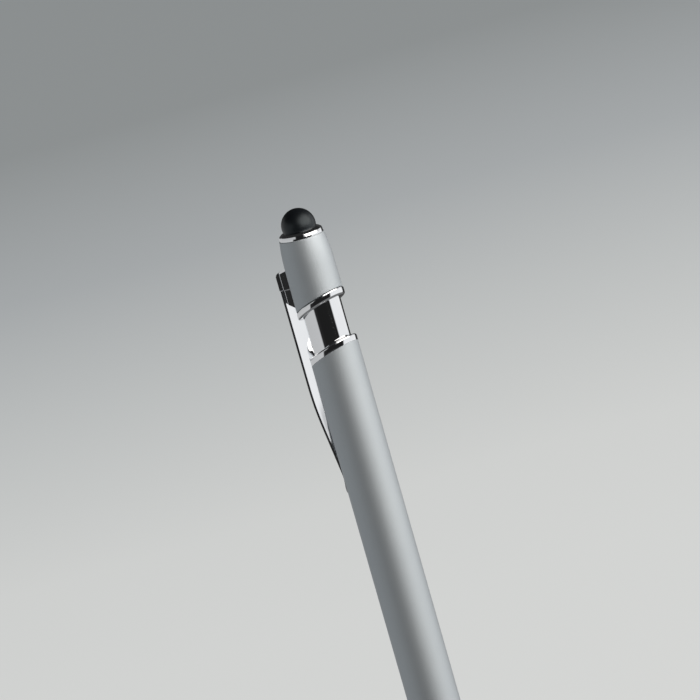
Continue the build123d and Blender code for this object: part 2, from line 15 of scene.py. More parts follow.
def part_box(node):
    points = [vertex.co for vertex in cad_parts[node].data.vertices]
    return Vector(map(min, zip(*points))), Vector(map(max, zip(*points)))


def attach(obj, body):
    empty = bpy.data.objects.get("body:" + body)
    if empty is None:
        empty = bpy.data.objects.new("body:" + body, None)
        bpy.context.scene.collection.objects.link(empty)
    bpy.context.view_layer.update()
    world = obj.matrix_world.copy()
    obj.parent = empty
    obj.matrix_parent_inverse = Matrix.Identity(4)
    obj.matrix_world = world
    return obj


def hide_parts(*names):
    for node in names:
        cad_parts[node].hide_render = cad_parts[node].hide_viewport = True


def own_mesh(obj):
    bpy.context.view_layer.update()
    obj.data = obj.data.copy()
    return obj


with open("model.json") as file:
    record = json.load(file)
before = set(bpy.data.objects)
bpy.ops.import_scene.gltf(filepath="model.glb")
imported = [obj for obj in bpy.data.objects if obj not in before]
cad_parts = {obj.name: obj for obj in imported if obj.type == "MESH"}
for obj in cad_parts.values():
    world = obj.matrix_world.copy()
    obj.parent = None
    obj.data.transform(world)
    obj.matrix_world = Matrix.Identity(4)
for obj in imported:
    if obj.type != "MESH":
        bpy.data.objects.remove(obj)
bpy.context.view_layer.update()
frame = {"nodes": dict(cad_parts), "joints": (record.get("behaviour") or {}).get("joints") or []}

MM = 0.001                # metres in a millimetre
CUT_SLOPE = 0.40          # rise of the pen's oblique ends towards +X
WELD = 0.0005             # points closer than this become one, in millimetres
CUT_ROOM = 1.0            # how far a tool reaches past what it cuts, in millimetres
SMOOTH_ANGLE = 38.0       # edges flatter than this are shaded round, in degrees
EDGE_FACETS = 3           # facets across a broken edge
TURN_STEPS = 128          # facets round a turned piece
FINE_STEPS = 48           # facets round a thin one

log = logging.getLogger("stylus_pen")

Corner = tuple[float, float]                         # point of an outline
Pair = tuple[float, float]                           # two values that belong together
Settings = Mapping[str | int, object]                # values or links of a node, by name or number
Stops = Sequence[tuple[float, Sequence[float]]]      # places and colours of a ramp


class Body(Enum):
    """The moving bodies of the frame."""

    BARREL = "barrel"
    CAP = "cap"
    CLIP = "clip"
    NOSE = "nose"
    REFILL = "refill"
    BALL = "ball"


class Joining(Enum):
    """Ways to join one mesh with another."""

    CUT = "DIFFERENCE"
    COMMON = "INTERSECT"
    FUSE = "UNION"


# Places in the frame, in millimetres

def level(node: str, top: bool) -> float:
    """Give the level of a CAD node's upper or lower end."""
    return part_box(node)[1 if top else 0].z / MM


def span(node: str) -> Pair:
    """Give the levels of a CAD node's lower and upper end."""
    return level(node, top=False), level(node, top=True)


def travel(joint: str) -> float:
    """Give the full travel of a sliding joint."""
    return next(j["range_m"][1] for j in frame["joints"] if j["name"] == joint) / MM


# Outlines, in millimetres

def arc(centre: Corner, radius: float, start: float, end: float, steps: int) -> list[Corner]:
    """Give points of a circular arc.

    Args:
        centre: Middle of the circle.
        radius: Its radius.
        start: Angle of the first point, in degrees.
        end: Angle of the last point, in degrees.
        steps: Number of chords.

    Returns:
        The points, both ends among them.
    """
    angles = [math.radians(start + (end - start) * k / steps) for k in range(steps + 1)]
    return [(centre[0] + radius * math.cos(a), centre[1] + radius * math.sin(a)) for a in angles]


def bow(start: Corner, end: Corner, rise: float, steps: int) -> list[Corner]:
    """Give points of a shallow arc over a chord.

    Args:
        start: First point.
        end: Last point.
        rise: Height of the arc over the middle of the chord, to the left of the way from start to end.
        steps: Number of chords.

    Returns:
        The points, both ends among them.
    """
    first, last = Vector(start), Vector(end)
    chord = last - first
    left = Vector((-chord.y, chord.x)).normalized()
    half = chord.length / 2
    radius = (half * half + rise * rise) / (2 * rise)
    centre = (first + last) / 2 + left * (rise - radius)
    sweep = 2 * math.asin(half / radius)
    turned = [Matrix.Rotation(-sweep * k / steps, 2) @ (first - centre) for k in range(steps + 1)]
    return [tuple(centre + arm) for arm in turned]


def round_corner(
    before: Corner, corner: Corner, after: Corner, radius: float, steps: int
) -> list[Corner]:
    """Give points of the arc that rounds a corner of a line.

    Args:
        before: Point of the line before the corner.
        corner: The corner itself.
        after: Point of the line after it.
        radius: Radius of the rounding.
        steps: Number of chords.

    Returns:
        The points, both ends among them.
    """
    into = (Vector(corner) - Vector(before)).normalized()
    out = (Vector(after) - Vector(corner)).normalized()
    side = math.copysign(1.0, into.cross(out))
    bend = into.angle(out)
    start = Vector(corner) - into * radius * math.tan(bend / 2)
    centre = start + Vector((-into.y, into.x)) * side * radius
    turned = [Matrix.Rotation(side * bend * k / steps, 2) @ (start - centre) for k in range(steps + 1)]
    return [tuple(centre + arm) for arm in turned]


def wall(bore: float, radius: float, low: float, high: float) -> list[Corner]:
    """Give the section of a plain tube, as corners of radius and level."""
    return [(bore, low), (radius, low), (radius, high), (bore, high)]


def upright(outline: Sequence[Corner]) -> list[Vector]:
    """Give an outline of radius and level as points in the plane through the pen's axis."""
    return [Vector((r, 0.0, z)) for r, z in outline]


# Modelling steps

@contextmanager
def editing(piece: bpy.types.Object) -> Iterator[None]:
    """Open a piece in edit mode with all of it selected, and close it again.

    Args:
        piece: The mesh to work on.

    Yields:
        Nothing, while the piece is open.
    """
    bpy.ops.object.select_all(action="DESELECT")
    piece.select_set(True)
    bpy.context.view_layer.objects.active = piece
    bpy.ops.object.mode_set(mode="EDIT")
    bpy.ops.mesh.select_all(action="SELECT")
    yield
    bpy.ops.object.mode_set(mode="OBJECT")


def draw(name: str, points: Sequence[Vector], closed: bool) -> bpy.types.Object:
    """Draw a line of edges from one vertex on.

    Args:
        name: Name of the piece.
        points: Corners of the line, in millimetres.
        closed: Whether it returns to its start.

    Returns:
        The line, as an object at the origin.
    """
    bpy.ops.object.select_all(action="DESELECT")
    bpy.ops.mesh.primitive_plane_add(size=MM, location=points[0] * MM)
    bpy.ops.object.transform_apply(location=True, rotation=True, scale=True)
    piece = bpy.context.object
    piece.name = name
    piece.data.name = name
    stops = [*points, points[0]] if closed else points
    with editing(piece):
        bpy.ops.mesh.merge(type="CENTER")
        for start, stop in zip(stops, stops[1:]):
            bpy.ops.mesh.extrude_region_move(TRANSFORM_OT_translate={"value": (stop - start) * MM})
        bpy.ops.mesh.select_all(action="SELECT")
        bpy.ops.mesh.remove_doubles(threshold=WELD * MM)
    return piece


def turn(
    name: str, outline: Sequence[Corner], closed: bool = True, steps: int = TURN_STEPS
) -> bpy.types.Object:
    """Turn an outline round the pen's axis.

    Args:
        name: Name of the piece.
        outline: Corners as radius and level.
        closed: Whether the outline is a ring of its own and not one that ends on the axis.
        steps: Facets round the axis.

    Returns:
        The turned piece.
    """
    piece = draw(name, upright(outline), closed)
    with editing(piece):
        bpy.ops.mesh.spin(steps=steps, angle=math.tau, center=(0, 0, 0), axis=(0, 0, 1))
        bpy.ops.mesh.select_all(action="SELECT")
        bpy.ops.mesh.remove_doubles(threshold=WELD * MM)
        bpy.ops.mesh.normals_make_consistent(inside=False)
    return piece


def wind(name: str, section: Sequence[Corner], pitch: float, turns: int) -> bpy.types.Object:
    """Wind a closed section into a helix about the pen's axis and close its ends.

    Args:
        name: Name of the piece.
        section: Corners as radius and level.
        pitch: Climb of one turn.
        turns: Number of turns.

    Returns:
        The wound piece.
    """
    piece = draw(name, upright(section), closed=True)
    modify(
        piece,
        "SCREW",
        axis="Z",
        angle=math.tau,
        screw_offset=pitch * MM,
        iterations=turns,
        steps=FINE_STEPS,
        render_steps=FINE_STEPS,
        use_normal_calculate=True,
    )
    with editing(piece):
        bpy.ops.mesh.fill_holes(sides=len(section))
        bpy.ops.mesh.select_all(action="SELECT")
        bpy.ops.mesh.normals_make_consistent(inside=False)
    bpy.ops.object.shade_smooth_by_angle(angle=math.radians(SMOOTH_ANGLE))
    return piece


def prism(name: str, outline: Sequence[Vector], way: Vector) -> bpy.types.Object:
    """Fill an outline and pull it out to a solid.

    Args:
        name: Name of the piece.
        outline: Corners of the flat face.
        way: How far and which way it is pulled.

    Returns:
        The solid.
    """
    piece = draw(name, outline, closed=True)
    with editing(piece):
        bpy.ops.mesh.edge_face_add()
        bpy.ops.mesh.extrude_region_move(TRANSFORM_OT_translate={"value": way * MM})
        bpy.ops.mesh.select_all(action="SELECT")
        bpy.ops.mesh.normals_make_consistent(inside=False)
    return piece


def stack(name: str, rings: Sequence[Sequence[Vector]]) -> bpy.types.Object:
    """Pull a face from ring to ring to a solid.

    Args:
        name: Name of the piece.
        rings: Corners of each ring, the same number in each.

    Returns:
        The solid.
    """
    flat = [Vector((corner.x, corner.y, 0.0)) for corner in rings[0]]
    piece = draw(name, flat, closed=True)
    with editing(piece):
        bpy.ops.mesh.edge_face_add()
        for _ in rings[1:]:
            bpy.ops.mesh.extrude_region_move(TRANSFORM_OT_translate={"value": (0.0, 0.0, MM)})
    for vertex in piece.data.vertices:
        place = vertex.co / MM
        corner = min(range(len(flat)), key=lambda k: (flat[k] - place).xy.length)
        vertex.co = rings[round(place.z)][corner] * MM
    with editing(piece):
        bpy.ops.mesh.normals_make_consistent(inside=False)
    return piece


def block(name: str, low: Vector, high: Vector) -> bpy.types.Object:
    """Make a block between two corners, as a start for a fuse or a cut.

    Args:
        name: Name of the piece.
        low: Lowest corner.
        high: Highest corner.

    Returns:
        The block.
    """
    bpy.ops.object.select_all(action="DESELECT")
    bpy.ops.mesh.primitive_cube_add(size=MM, location=(low + high) / 2 * MM, scale=high - low)
    bpy.ops.object.transform_apply(location=True, rotation=True, scale=True)
    piece = bpy.context.object
    piece.name = name
    return piece


def modify(piece: bpy.types.Object, kind: str, **settings: object) -> None:
    """Put a modifier on a piece and apply it.

    Args:
        piece: The mesh.
        kind: Blender's name for the modifier.
        settings: Its values.
    """
    modifier = piece.modifiers.new(kind, kind)
    for name, value in settings.items():
        setattr(modifier, name, value)
    bpy.ops.object.select_all(action="DESELECT")
    piece.select_set(True)
    bpy.context.view_layer.objects.active = piece
    bpy.ops.object.modifier_apply(modifier=modifier.name)


def join(piece: bpy.types.Object, tool: bpy.types.Object, way: Joining) -> None:
    """Join a piece with a second solid, which is used up."""
    modify(piece, "BOOLEAN", operation=way.value, solver="EXACT", object=tool)
    bpy.data.objects.remove(tool)


def slant(piece: bpy.types.Object, picked: Callable[[Vector], bool]) -> None:
    """Make an end oblique: lift the picked points with the pen's cut slope.

    Args:
        piece: The mesh.
        picked: Says of a point, in metres, whether it belongs to that end.
    """
    for vertex in piece.data.vertices:
        if picked(vertex.co):
            vertex.co.z += CUT_SLOPE * vertex.co.x


def shade(piece: bpy.types.Object, angle: float) -> None:
    """Shade a piece round: flat faces stay flat, and edges that turn by more than the angle stay sharp."""
    bpy.ops.object.shade_smooth_by_angle(angle=math.radians(angle))
    modify(piece, "WEIGHTED_NORMAL", keep_sharp=True)


def ease_edges(piece: bpy.types.Object, width: float) -> None:
    """Break the sharp edges of a piece and shade it.

    Args:
        piece: The mesh.
        width: Width of the broken edge, in millimetres.
    """
    modify(
        piece,
        "BEVEL",
        width=width * MM,
        segments=EDGE_FACETS,
        limit_method="ANGLE",
        angle_limit=math.radians(SMOOTH_ANGLE),
    )
    shade(piece, SMOOTH_ANGLE)


def lathe(
    name: str,
    outline: Sequence[Corner],
    edge: float,
    closed: bool = True,
    steps: int = TURN_STEPS,
    oblique: Callable[[Vector], bool] | None = None,
) -> bpy.types.Object:
    """Turn a piece and finish it with broken edges.

    Args:
        name: Name of the piece.
        outline: Corners as radius and level.
        edge: Width of a broken edge.
        closed: Whether the outline is a ring of its own and not one that ends on the axis.
        steps: Facets round the axis.
        oblique: Says of a point, in metres, whether it belongs to an oblique end.

    Returns:
        The finished piece.
    """
    piece = turn(name, outline, closed, steps)
    if oblique:
        slant(piece, oblique)
    ease_edges(piece, edge)
    return piece


# Finishes

def linear(colour: str) -> tuple[float, float, float, float]:
    """Turn an sRGB hex colour to linear light.

    Args:
        colour: Hex value such as #A0A0A0.

    Returns:
        Red, green, blue and full alpha.
    """
    parts = [int(colour[k:k + 2], 16) / 255 for k in (1, 3, 5)]
    light = [c / 12.92 if c <= 0.04045 else ((c + 0.055) / 1.055) ** 2.4 for c in parts]
    return light[0], light[1], light[2], 1.0


def add_node(
    tree: bpy.types.NodeTree,
    kind: str,
    settings: Settings | None = None,
    links: Settings | None = None,
    stops: Stops = (),
) -> bpy.types.Node:
    """Add a shader node.

    Args:
        tree: Node tree of a material or world.
        kind: Blender's name for the node, without its prefix.
        settings: Values of its properties, or of its inputs by name or number.
        links: Output sockets that feed its inputs, by name or number.
        stops: Place from 0 to 1 and colour of each stop of its ramp, in rising order.

    Returns:
        The node.
    """
    node = tree.nodes.new("ShaderNode" + kind)
    for key, value in (settings or {}).items():
        if isinstance(key, str) and hasattr(node, key):
            setattr(node, key, value)
        else:
            node.inputs[key].default_value = value
    for key, socket in (links or {}).items():
        tree.links.new(socket, node.inputs[key])
    if stops:
        elements = node.color_ramp.elements
        elements.remove(elements[1])
        for number, (place, colour) in enumerate(stops):
            stop = elements.new(place) if number else elements[0]
            stop.position = place
            stop.color = colour
    return node


# Numbers of the sockets of a Mix node that mixes colours, and of one that mixes values
MIX_A, MIX_B, MIX_RESULT = 6, 7, 2
BLEND_A, BLEND_B = 2, 3

# Finer layers in a cloudy pattern: in a drift of colour, and in a grain
DRIFT_DETAIL, GRAIN_DETAIL = 2.0, 1.0

# A wave texture of scale 1 repeats this many times to the unit
WAVE_REPEAT = 20 / math.tau


@dataclass(frozen=True)
class Finish:
    """A material with a drifting colour and a fine grain in its roughness and relief.

    Sizes are in millimetres: the width of a grain and its depth, and the width of a drift in colour.
    """

    name: str
    slot: str
    colour: str
    drift_colour: str
    metallic: float
    smoothest: float
    roughest: float
    grain: float
    grain_depth: float
    drift: float

    def material(self) -> bpy.types.Material:
        """Give the material, made the first time it is asked for.

        Returns:
            The material with its nodes.
        """
        made = bpy.data.materials.get(self.name)
        if made:
            return made
        made = bpy.data.materials.new(self.name)
        made.use_nodes = True
        shader = made.node_tree.nodes["Principled BSDF"]
        shader.inputs["Metallic"].default_value = self.metallic
        self.paint(made.node_tree, shader)
        return made

    def cloud(
        self, tree: bpy.types.NodeTree, size: float, detail: float, stretch: Pair = (1.0, 1.0)
    ) -> bpy.types.NodeSocket:
        """Lay a cloudy pattern over the piece.

        Args:
            tree: The material's nodes.
            size: Width of a cloud in millimetres.
            detail: How many finer layers it has.
            stretch: Scale across and along the pen.

        Returns:
            The socket with the pattern, from 0 to 1.
        """
        place = add_node(tree, "TexCoord").outputs["Object"]
        scale = Vector((stretch[0], stretch[0], stretch[1])) / (size * MM)
        lie = add_node(tree, "Mapping", {"Scale": scale}, {"Vector": place}).outputs["Vector"]
        pattern = add_node(tree, "TexNoise", {"Scale": 1.0, "Detail": detail}, {"Vector": lie})
        return pattern.outputs["Fac"]

    def paint(self, tree: bpy.types.NodeTree, shader: bpy.types.Node) -> None:
        """Connect colour, roughness and relief.

        Args:
            tree: The material's nodes.
            shader: Its Principled shader.
        """
        drift = self.cloud(tree, self.drift, DRIFT_DETAIL)
        grain = self.cloud(tree, self.grain, GRAIN_DETAIL)
        colours = {"data_type": "RGBA", MIX_A: linear(self.colour), MIX_B: linear(self.drift_colour)}
        tint = add_node(tree, "Mix", colours, {0: drift})
        bounds = {"To Min": self.smoothest, "To Max": self.roughest}
        rough = add_node(tree, "MapRange", bounds, {"Value": grain})
        relief = add_node(tree, "Bump", {"Distance": self.grain_depth * MM}, {"Height": grain})
        tree.links.new(tint.outputs[MIX_RESULT], shader.inputs["Base Color"])
        tree.links.new(rough.outputs["Result"], shader.inputs["Roughness"])
        tree.links.new(relief.outputs["Normal"], shader.inputs["Normal"])


@dataclass(frozen=True)
class TurnedMetal(Finish):
    """Metal with the fine rings that a lathe tool leaves."""

    feed: float = 0.12
    waver: float = 0.4

    def paint(self, tree: bpy.types.NodeTree, shader: bpy.types.Node) -> None:
        """Add the tool's rings to the relief.

        Args:
            tree: The material's nodes.
            shader: Its Principled shader.
        """
        super().paint(tree, shader)
        place = add_node(tree, "TexCoord").outputs["Object"]
        pattern = {
            "bands_direction": "Z",
            "Scale": 1 / (self.feed * MM * WAVE_REPEAT),
            "Distortion": self.waver,
        }
        rings = add_node(tree, "TexWave", pattern, {"Vector": place}).outputs["Fac"]
        grain = shader.inputs["Normal"].links[0].from_socket
        depth = {"Distance": self.grain_depth * MM}
        relief = add_node(tree, "Bump", depth, {"Height": rings, "Normal": grain})
        tree.links.new(relief.outputs["Normal"], shader.inputs["Normal"])


@dataclass(frozen=True)
class PlatedMetal(Finish):
    """Mirror plating: hardly any grain, but polishing hairlines along the pen."""

    hairline: float = 0.35
    hairline_length: float = 12.0
    faintest: float = 0.5
    strongest: float = 0.8

    def paint(self, tree: bpy.types.NodeTree, shader: bpy.types.Node) -> None:
        """Let the hairlines roughen the mirror a little.

        Args:
            tree: The material's nodes.
            shader: Its Principled shader.
        """
        super().paint(tree, shader)
        lines = self.cloud(tree, self.hairline, GRAIN_DETAIL, (1.0, self.hairline / self.hairline_length))
        smudge = shader.inputs["Roughness"].links[0].from_socket
        bounds = {
            "From Min": self.faintest,
            "From Max": self.strongest,
            "To Min": 0.0,
            "To Max": self.roughest,
        }
        fine = add_node(tree, "MapRange", bounds, {"Value": lines}).outputs["Result"]
        both = add_node(tree, "Math", {"operation": "ADD"}, {0: smudge, 1: fine})
        tree.links.new(both.outputs["Value"], shader.inputs["Roughness"])


@dataclass(frozen=True)
class SoftRubber(Finish):
    """Rubber with a soft bloom where it is seen at a slant."""

    bloom: float = 0.03
    bloom_spread: float = 0.4
    bloom_colour: str = "#808488"
    gloss_colour: str = "#DCEAF0"

    def paint(self, tree: bpy.types.NodeTree, shader: bpy.types.Node) -> None:
        """Add the bloom, and cool the gloss a little.

        Args:
            tree: The material's nodes.
            shader: Its Principled shader.
        """
        super().paint(tree, shader)
        shader.inputs["Specular Tint"].default_value = linear(self.gloss_colour)
        shader.inputs["Sheen Weight"].default_value = self.bloom
        shader.inputs["Sheen Roughness"].default_value = self.bloom_spread
        shader.inputs["Sheen Tint"].default_value = linear(self.bloom_colour)


@dataclass(frozen=True)
class ClearPlastic(Finish):
    """Plastic that lets some light through."""

    clarity: float = 0.7
    index: float = 1.49

    def paint(self, tree: bpy.types.NodeTree, shader: bpy.types.Node) -> None:
        """Let light through.

        Args:
            tree: The material's nodes.
            shader: Its Principled shader.
        """
        super().paint(tree, shader)
        shader.inputs["Transmission Weight"].default_value = self.clarity
        shader.inputs["IOR"].default_value = self.index


# Bead-blasted, clear-anodised aluminium: an even satin grey with a broad soft highlight. The blasting
# leaves pits of about 0.05 mm, drawn 0.25 mm wide so that they show.
ALUMINIUM = Finish(
    "bead_blasted_anodised_aluminium", "grey_aluminium", "#BAC1C6", "#BFC6CA",
    metallic=1.0, smoothest=0.60, roughest=0.68, grain=0.25, grain_depth=0.006, drift=9.0,
)
# Bright chrome plating on brass and steel: a mirror with faint hairlines and smudges.
CHROME = PlatedMetal(
    "bright_chrome_plate", "chrome", "#E2E4E7", "#EAECEE",
    metallic=1.0, smoothest=0.02, roughest=0.06, grain=3.0, grain_depth=0.0004, drift=6.0,
)
# Moulded black silicone: charcoal, dull, with a soft sheen. Its mould grain of 0.05 mm is drawn 0.2 mm
# wide so that it shows.
SILICONE = SoftRubber(
    "moulded_black_silicone", "stylus_rubber", "#0B0E12", "#0F1216",
    metallic=0.0, smoothest=0.36, roughest=0.44, grain=0.20, grain_depth=0.008, drift=2.5,
)
# Moulded dark acetal: waxy charcoal with a fine spark-eroded grain.
ACETAL = Finish(
    "moulded_acetal", "mechanism_plastic", "#303032", "#38383A",
    metallic=0.0, smoothest=0.38, roughest=0.48, grain=0.15, grain_depth=0.004, drift=3.0,
)
# Turned brass: warm yellow with fine tool rings.
BRASS = TurnedMetal(
    "turned_brass", "brass", "#C9A95C", "#D3B467",
    metallic=1.0, smoothest=0.18, roughest=0.28, grain=0.10, grain_depth=0.003, drift=2.0,
)
# Drawn stainless spring wire: grey, with the die's streaks as slight changes in gloss.
SPRING_WIRE = Finish(
    "drawn_spring_wire", "spring_steel", "#B9BCC0", "#A9ACB0",
    metallic=1.0, smoothest=0.16, roughest=0.30, grain=0.12, grain_depth=0.002, drift=1.5,
)
# Extruded polypropylene tube: milky and translucent.
POLYPROPYLENE = ClearPlastic(
    "extruded_polypropylene", "refill_plastic", "#E8ECEC", "#F2F4F4",
    metallic=0.0, smoothest=0.20, roughest=0.30, grain=0.40, grain_depth=0.002, drift=6.0,
)
# Ballpoint ink paste: nearly black blue.
INK = Finish(
    "ballpoint_ink", "ink", "#14182E", "#1B2040",
    metallic=0.0, smoothest=0.15, roughest=0.25, grain=0.50, grain_depth=0.002, drift=4.0,
)
# Turned nickel silver: pale warm grey with tool rings.
NICKEL_SILVER = TurnedMetal(
    "turned_nickel_silver", "nickel_silver", "#CFCBC0", "#D8D4CA",
    metallic=1.0, smoothest=0.14, roughest=0.24, grain=0.08, grain_depth=0.002, drift=1.5, feed=0.08,
)
# Lapped tungsten carbide: dark grey, nearly a mirror.
CARBIDE = Finish(
    "lapped_carbide", "carbide", "#8E9094", "#9A9CA0",
    metallic=1.0, smoothest=0.08, roughest=0.14, grain=0.05, grain_depth=0.0005, drift=0.4,
)


def carry(piece: bpy.types.Object, body: Body, finish: Finish, *nodes: str) -> None:
    """Dress a finished piece and give it to the body that carries it.

    Args:
        piece: The mesh.
        body: Body that it moves with.
        finish: Its material.
        nodes: CAD nodes that it stands for.
    """
    piece.data.materials.clear()
    piece.data.materials.append(finish.material())
    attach(piece, body.value)
    if nodes:
        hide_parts(*nodes)
    log.info("%s: %s on %s, %d faces", piece.name, finish.name, body.value, len(piece.data.polygons))


# Sub-assemblies, with sizes in millimetres

@dataclass
class Stylus:
    """Rubber dome and the chrome collar that holds it."""

    dome_radius: float = 3.5
    dome_rise: float = 2.23
    dome_steps: int = 28
    neck_radius: float = 2.15
    neck_bore: float = 1.25
    flange_radius: float = 2.8
    flange_height: float = 0.8
    collar_radius: float = 4.5
    collar_bore: float = 2.17
    band_height: float = 0.82
    band_top_radius: float = 4.42
    top_height: float = 1.4
    flat_radius: float = 3.55
    crown_rise: float = 0.06
    crown_steps: int = 8
    spigot_radius: float = 2.9
    spigot_length: float = 2.4
    edge: float = 0.025

    def __post_init__(self) -> None:
        """Take the levels from the frame."""
        self.seat = level("push_cap", top=True)
        self.top = self.seat + self.top_height
        self.foot = self.seat - self.spigot_length

    def build(self) -> None:
        """Make both pieces."""
        self.build_dome()
        self.build_collar()

    def build_dome(self) -> None:
        """Make the dome with its neck and flange."""
        centre = self.seat + self.dome_rise
        lowest = math.degrees(math.asin((self.top - centre) / self.dome_radius))
        outline = [
            *arc((0.0, centre), self.dome_radius, 90.0, lowest, self.dome_steps),
            (self.neck_radius, self.top),
            (self.neck_radius, self.foot),
            (self.flange_radius, self.foot),
            (self.flange_radius, self.foot - self.flange_height),
            (self.neck_bore, self.foot - self.flange_height),
            (self.neck_bore, centre),
            (0.0, centre),
        ]
        dome = lathe("stylus_dome", outline, self.edge, closed=False)
        carry(dome, Body.CAP, SILICONE, "stylus_tip")

    def build_collar(self) -> None:
        """Make the collar: a slightly tapered band, a crowned top and a spigot."""
        rim = (self.flat_radius, self.top)
        band_top = (self.band_top_radius, self.seat + self.band_height)
        outline = [
            *bow(rim, band_top, self.crown_rise, self.crown_steps),
            (self.collar_radius, self.seat),
            (self.spigot_radius, self.seat),
            (self.spigot_radius, self.foot),
            (self.collar_bore, self.foot),
            (self.collar_bore, self.top),
        ]
        carry(lathe("dome_collar", outline, self.edge), Body.CAP, CHROME, "stylus_collar")


@dataclass
class PushCap:
    """Grey cap with its bead and the plastic liner that glides on the tube."""

    radius: float = 5.15
    shoulder_radius: float = 5.1
    shoulder_drop: float = 6.0
    shoulder_bow: float = 0.112
    shoulder_steps: int = 12
    top_radius: float = 4.62
    top_round: float = 0.15
    top_steps: int = 4
    top_wall: float = 1.6
    length: float = 13.42
    bore: float = 4.63
    neck_bore: float = 4.21
    spigot_hole: float = 2.92
    bead_radius: float = 5.27
    bead_height: float = 1.6
    bead_round: float = 0.42
    bead_steps: int = 8
    liner_radius: float = 4.61
    liner_bore: float = 4.19
    slot_width: float = 2.96
    slot_drop: float = 8.23
    slot_height: float = 4.88
    edge: float = 0.05
    liner_edge: float = 0.03

    def __post_init__(self) -> None:
        """Take the levels from the frame."""
        self.top = level("push_cap", top=True)
        self.cut = self.top - self.length
        self.shoulder = self.top - self.shoulder_drop
        self.slot_high = self.top - self.slot_drop
        self.slot_low = self.slot_high - self.slot_height

    def side(self, grow: float = 0.0) -> list[Corner]:
        """Give the cap's side from its lower edge to its top edge.

        Args:
            grow: How far outside the cap the line runs.

        Returns:
            Corners as radius and level.
        """
        start = (self.shoulder_radius + grow, self.shoulder)
        end = (self.top_radius + grow, self.top)
        crown = bow(start, end, -self.shoulder_bow, self.shoulder_steps)
        return [(self.radius + grow, self.cut), *crown]

    def at_cut(self, point: Vector) -> bool:
        """Say whether a point, in metres, belongs to the oblique lower end."""
        return point.z < (self.cut + self.edge) * MM

    def build(self) -> None:
        """Make the three pieces."""
        self.build_shell()
        self.build_bead()
        self.build_liner()

    def build_shell(self) -> None:
        """Make the cap, cut obliquely, with the slot for the clip's lug."""
        side = self.side()
        inside = (self.spigot_hole, self.top)
        ceiling = self.top - self.top_wall
        outline = [
            *side[:-1],
            *round_corner(side[-2], side[-1], inside, self.top_round, self.top_steps),
            inside,
            (self.spigot_hole, ceiling),
            (self.neck_bore, ceiling),
            (self.neck_bore, self.shoulder),
            (self.bore, self.shoulder),
            (self.bore, self.cut),
        ]
        shell = lathe("cap_shell", outline, self.edge, oblique=self.at_cut)
        self.cut_slot(shell)
        carry(shell, Body.CAP, ALUMINIUM, "push_cap")

    def cut_slot(self, piece: bpy.types.Object) -> None:
        """Cut the lug's slot through a wall on the clip's side.

        Args:
            piece: The cap or its liner.
        """
        half = self.slot_width / 2
        low = Vector((-self.bead_radius - CUT_ROOM, -half, self.slot_low))
        high = Vector((-self.spigot_hole, half, self.slot_high))
        join(piece, block("slot_tool", low, high), Joining.CUT)

    def build_bead(self) -> None:
        """Make the rounded chrome bead on the oblique end."""
        foot = self.cut - self.bead_height
        inner = self.bead_radius - self.bead_round
        outline = [
            (self.liner_bore, foot),
            *arc((inner, foot + self.bead_round), self.bead_round, -90.0, 0.0, self.bead_steps),
            *arc((inner, self.cut - self.bead_round), self.bead_round, 0.0, 90.0, self.bead_steps),
            (self.liner_bore, self.cut),
        ]
        bead = lathe("cap_bead", outline, self.liner_edge, oblique=lambda point: True)
        carry(bead, Body.CAP, CHROME, "cap_trim_ring")

    def build_liner(self) -> None:
        """Make the plastic liner, with the lug's slot."""
        outline = wall(self.liner_bore, self.liner_radius, self.cut, self.shoulder)
        liner = lathe("cap_liner", outline, self.liner_edge, oblique=self.at_cut)
        self.cut_slot(liner)
        carry(liner, Body.CAP, ACETAL, "glide_sleeve")


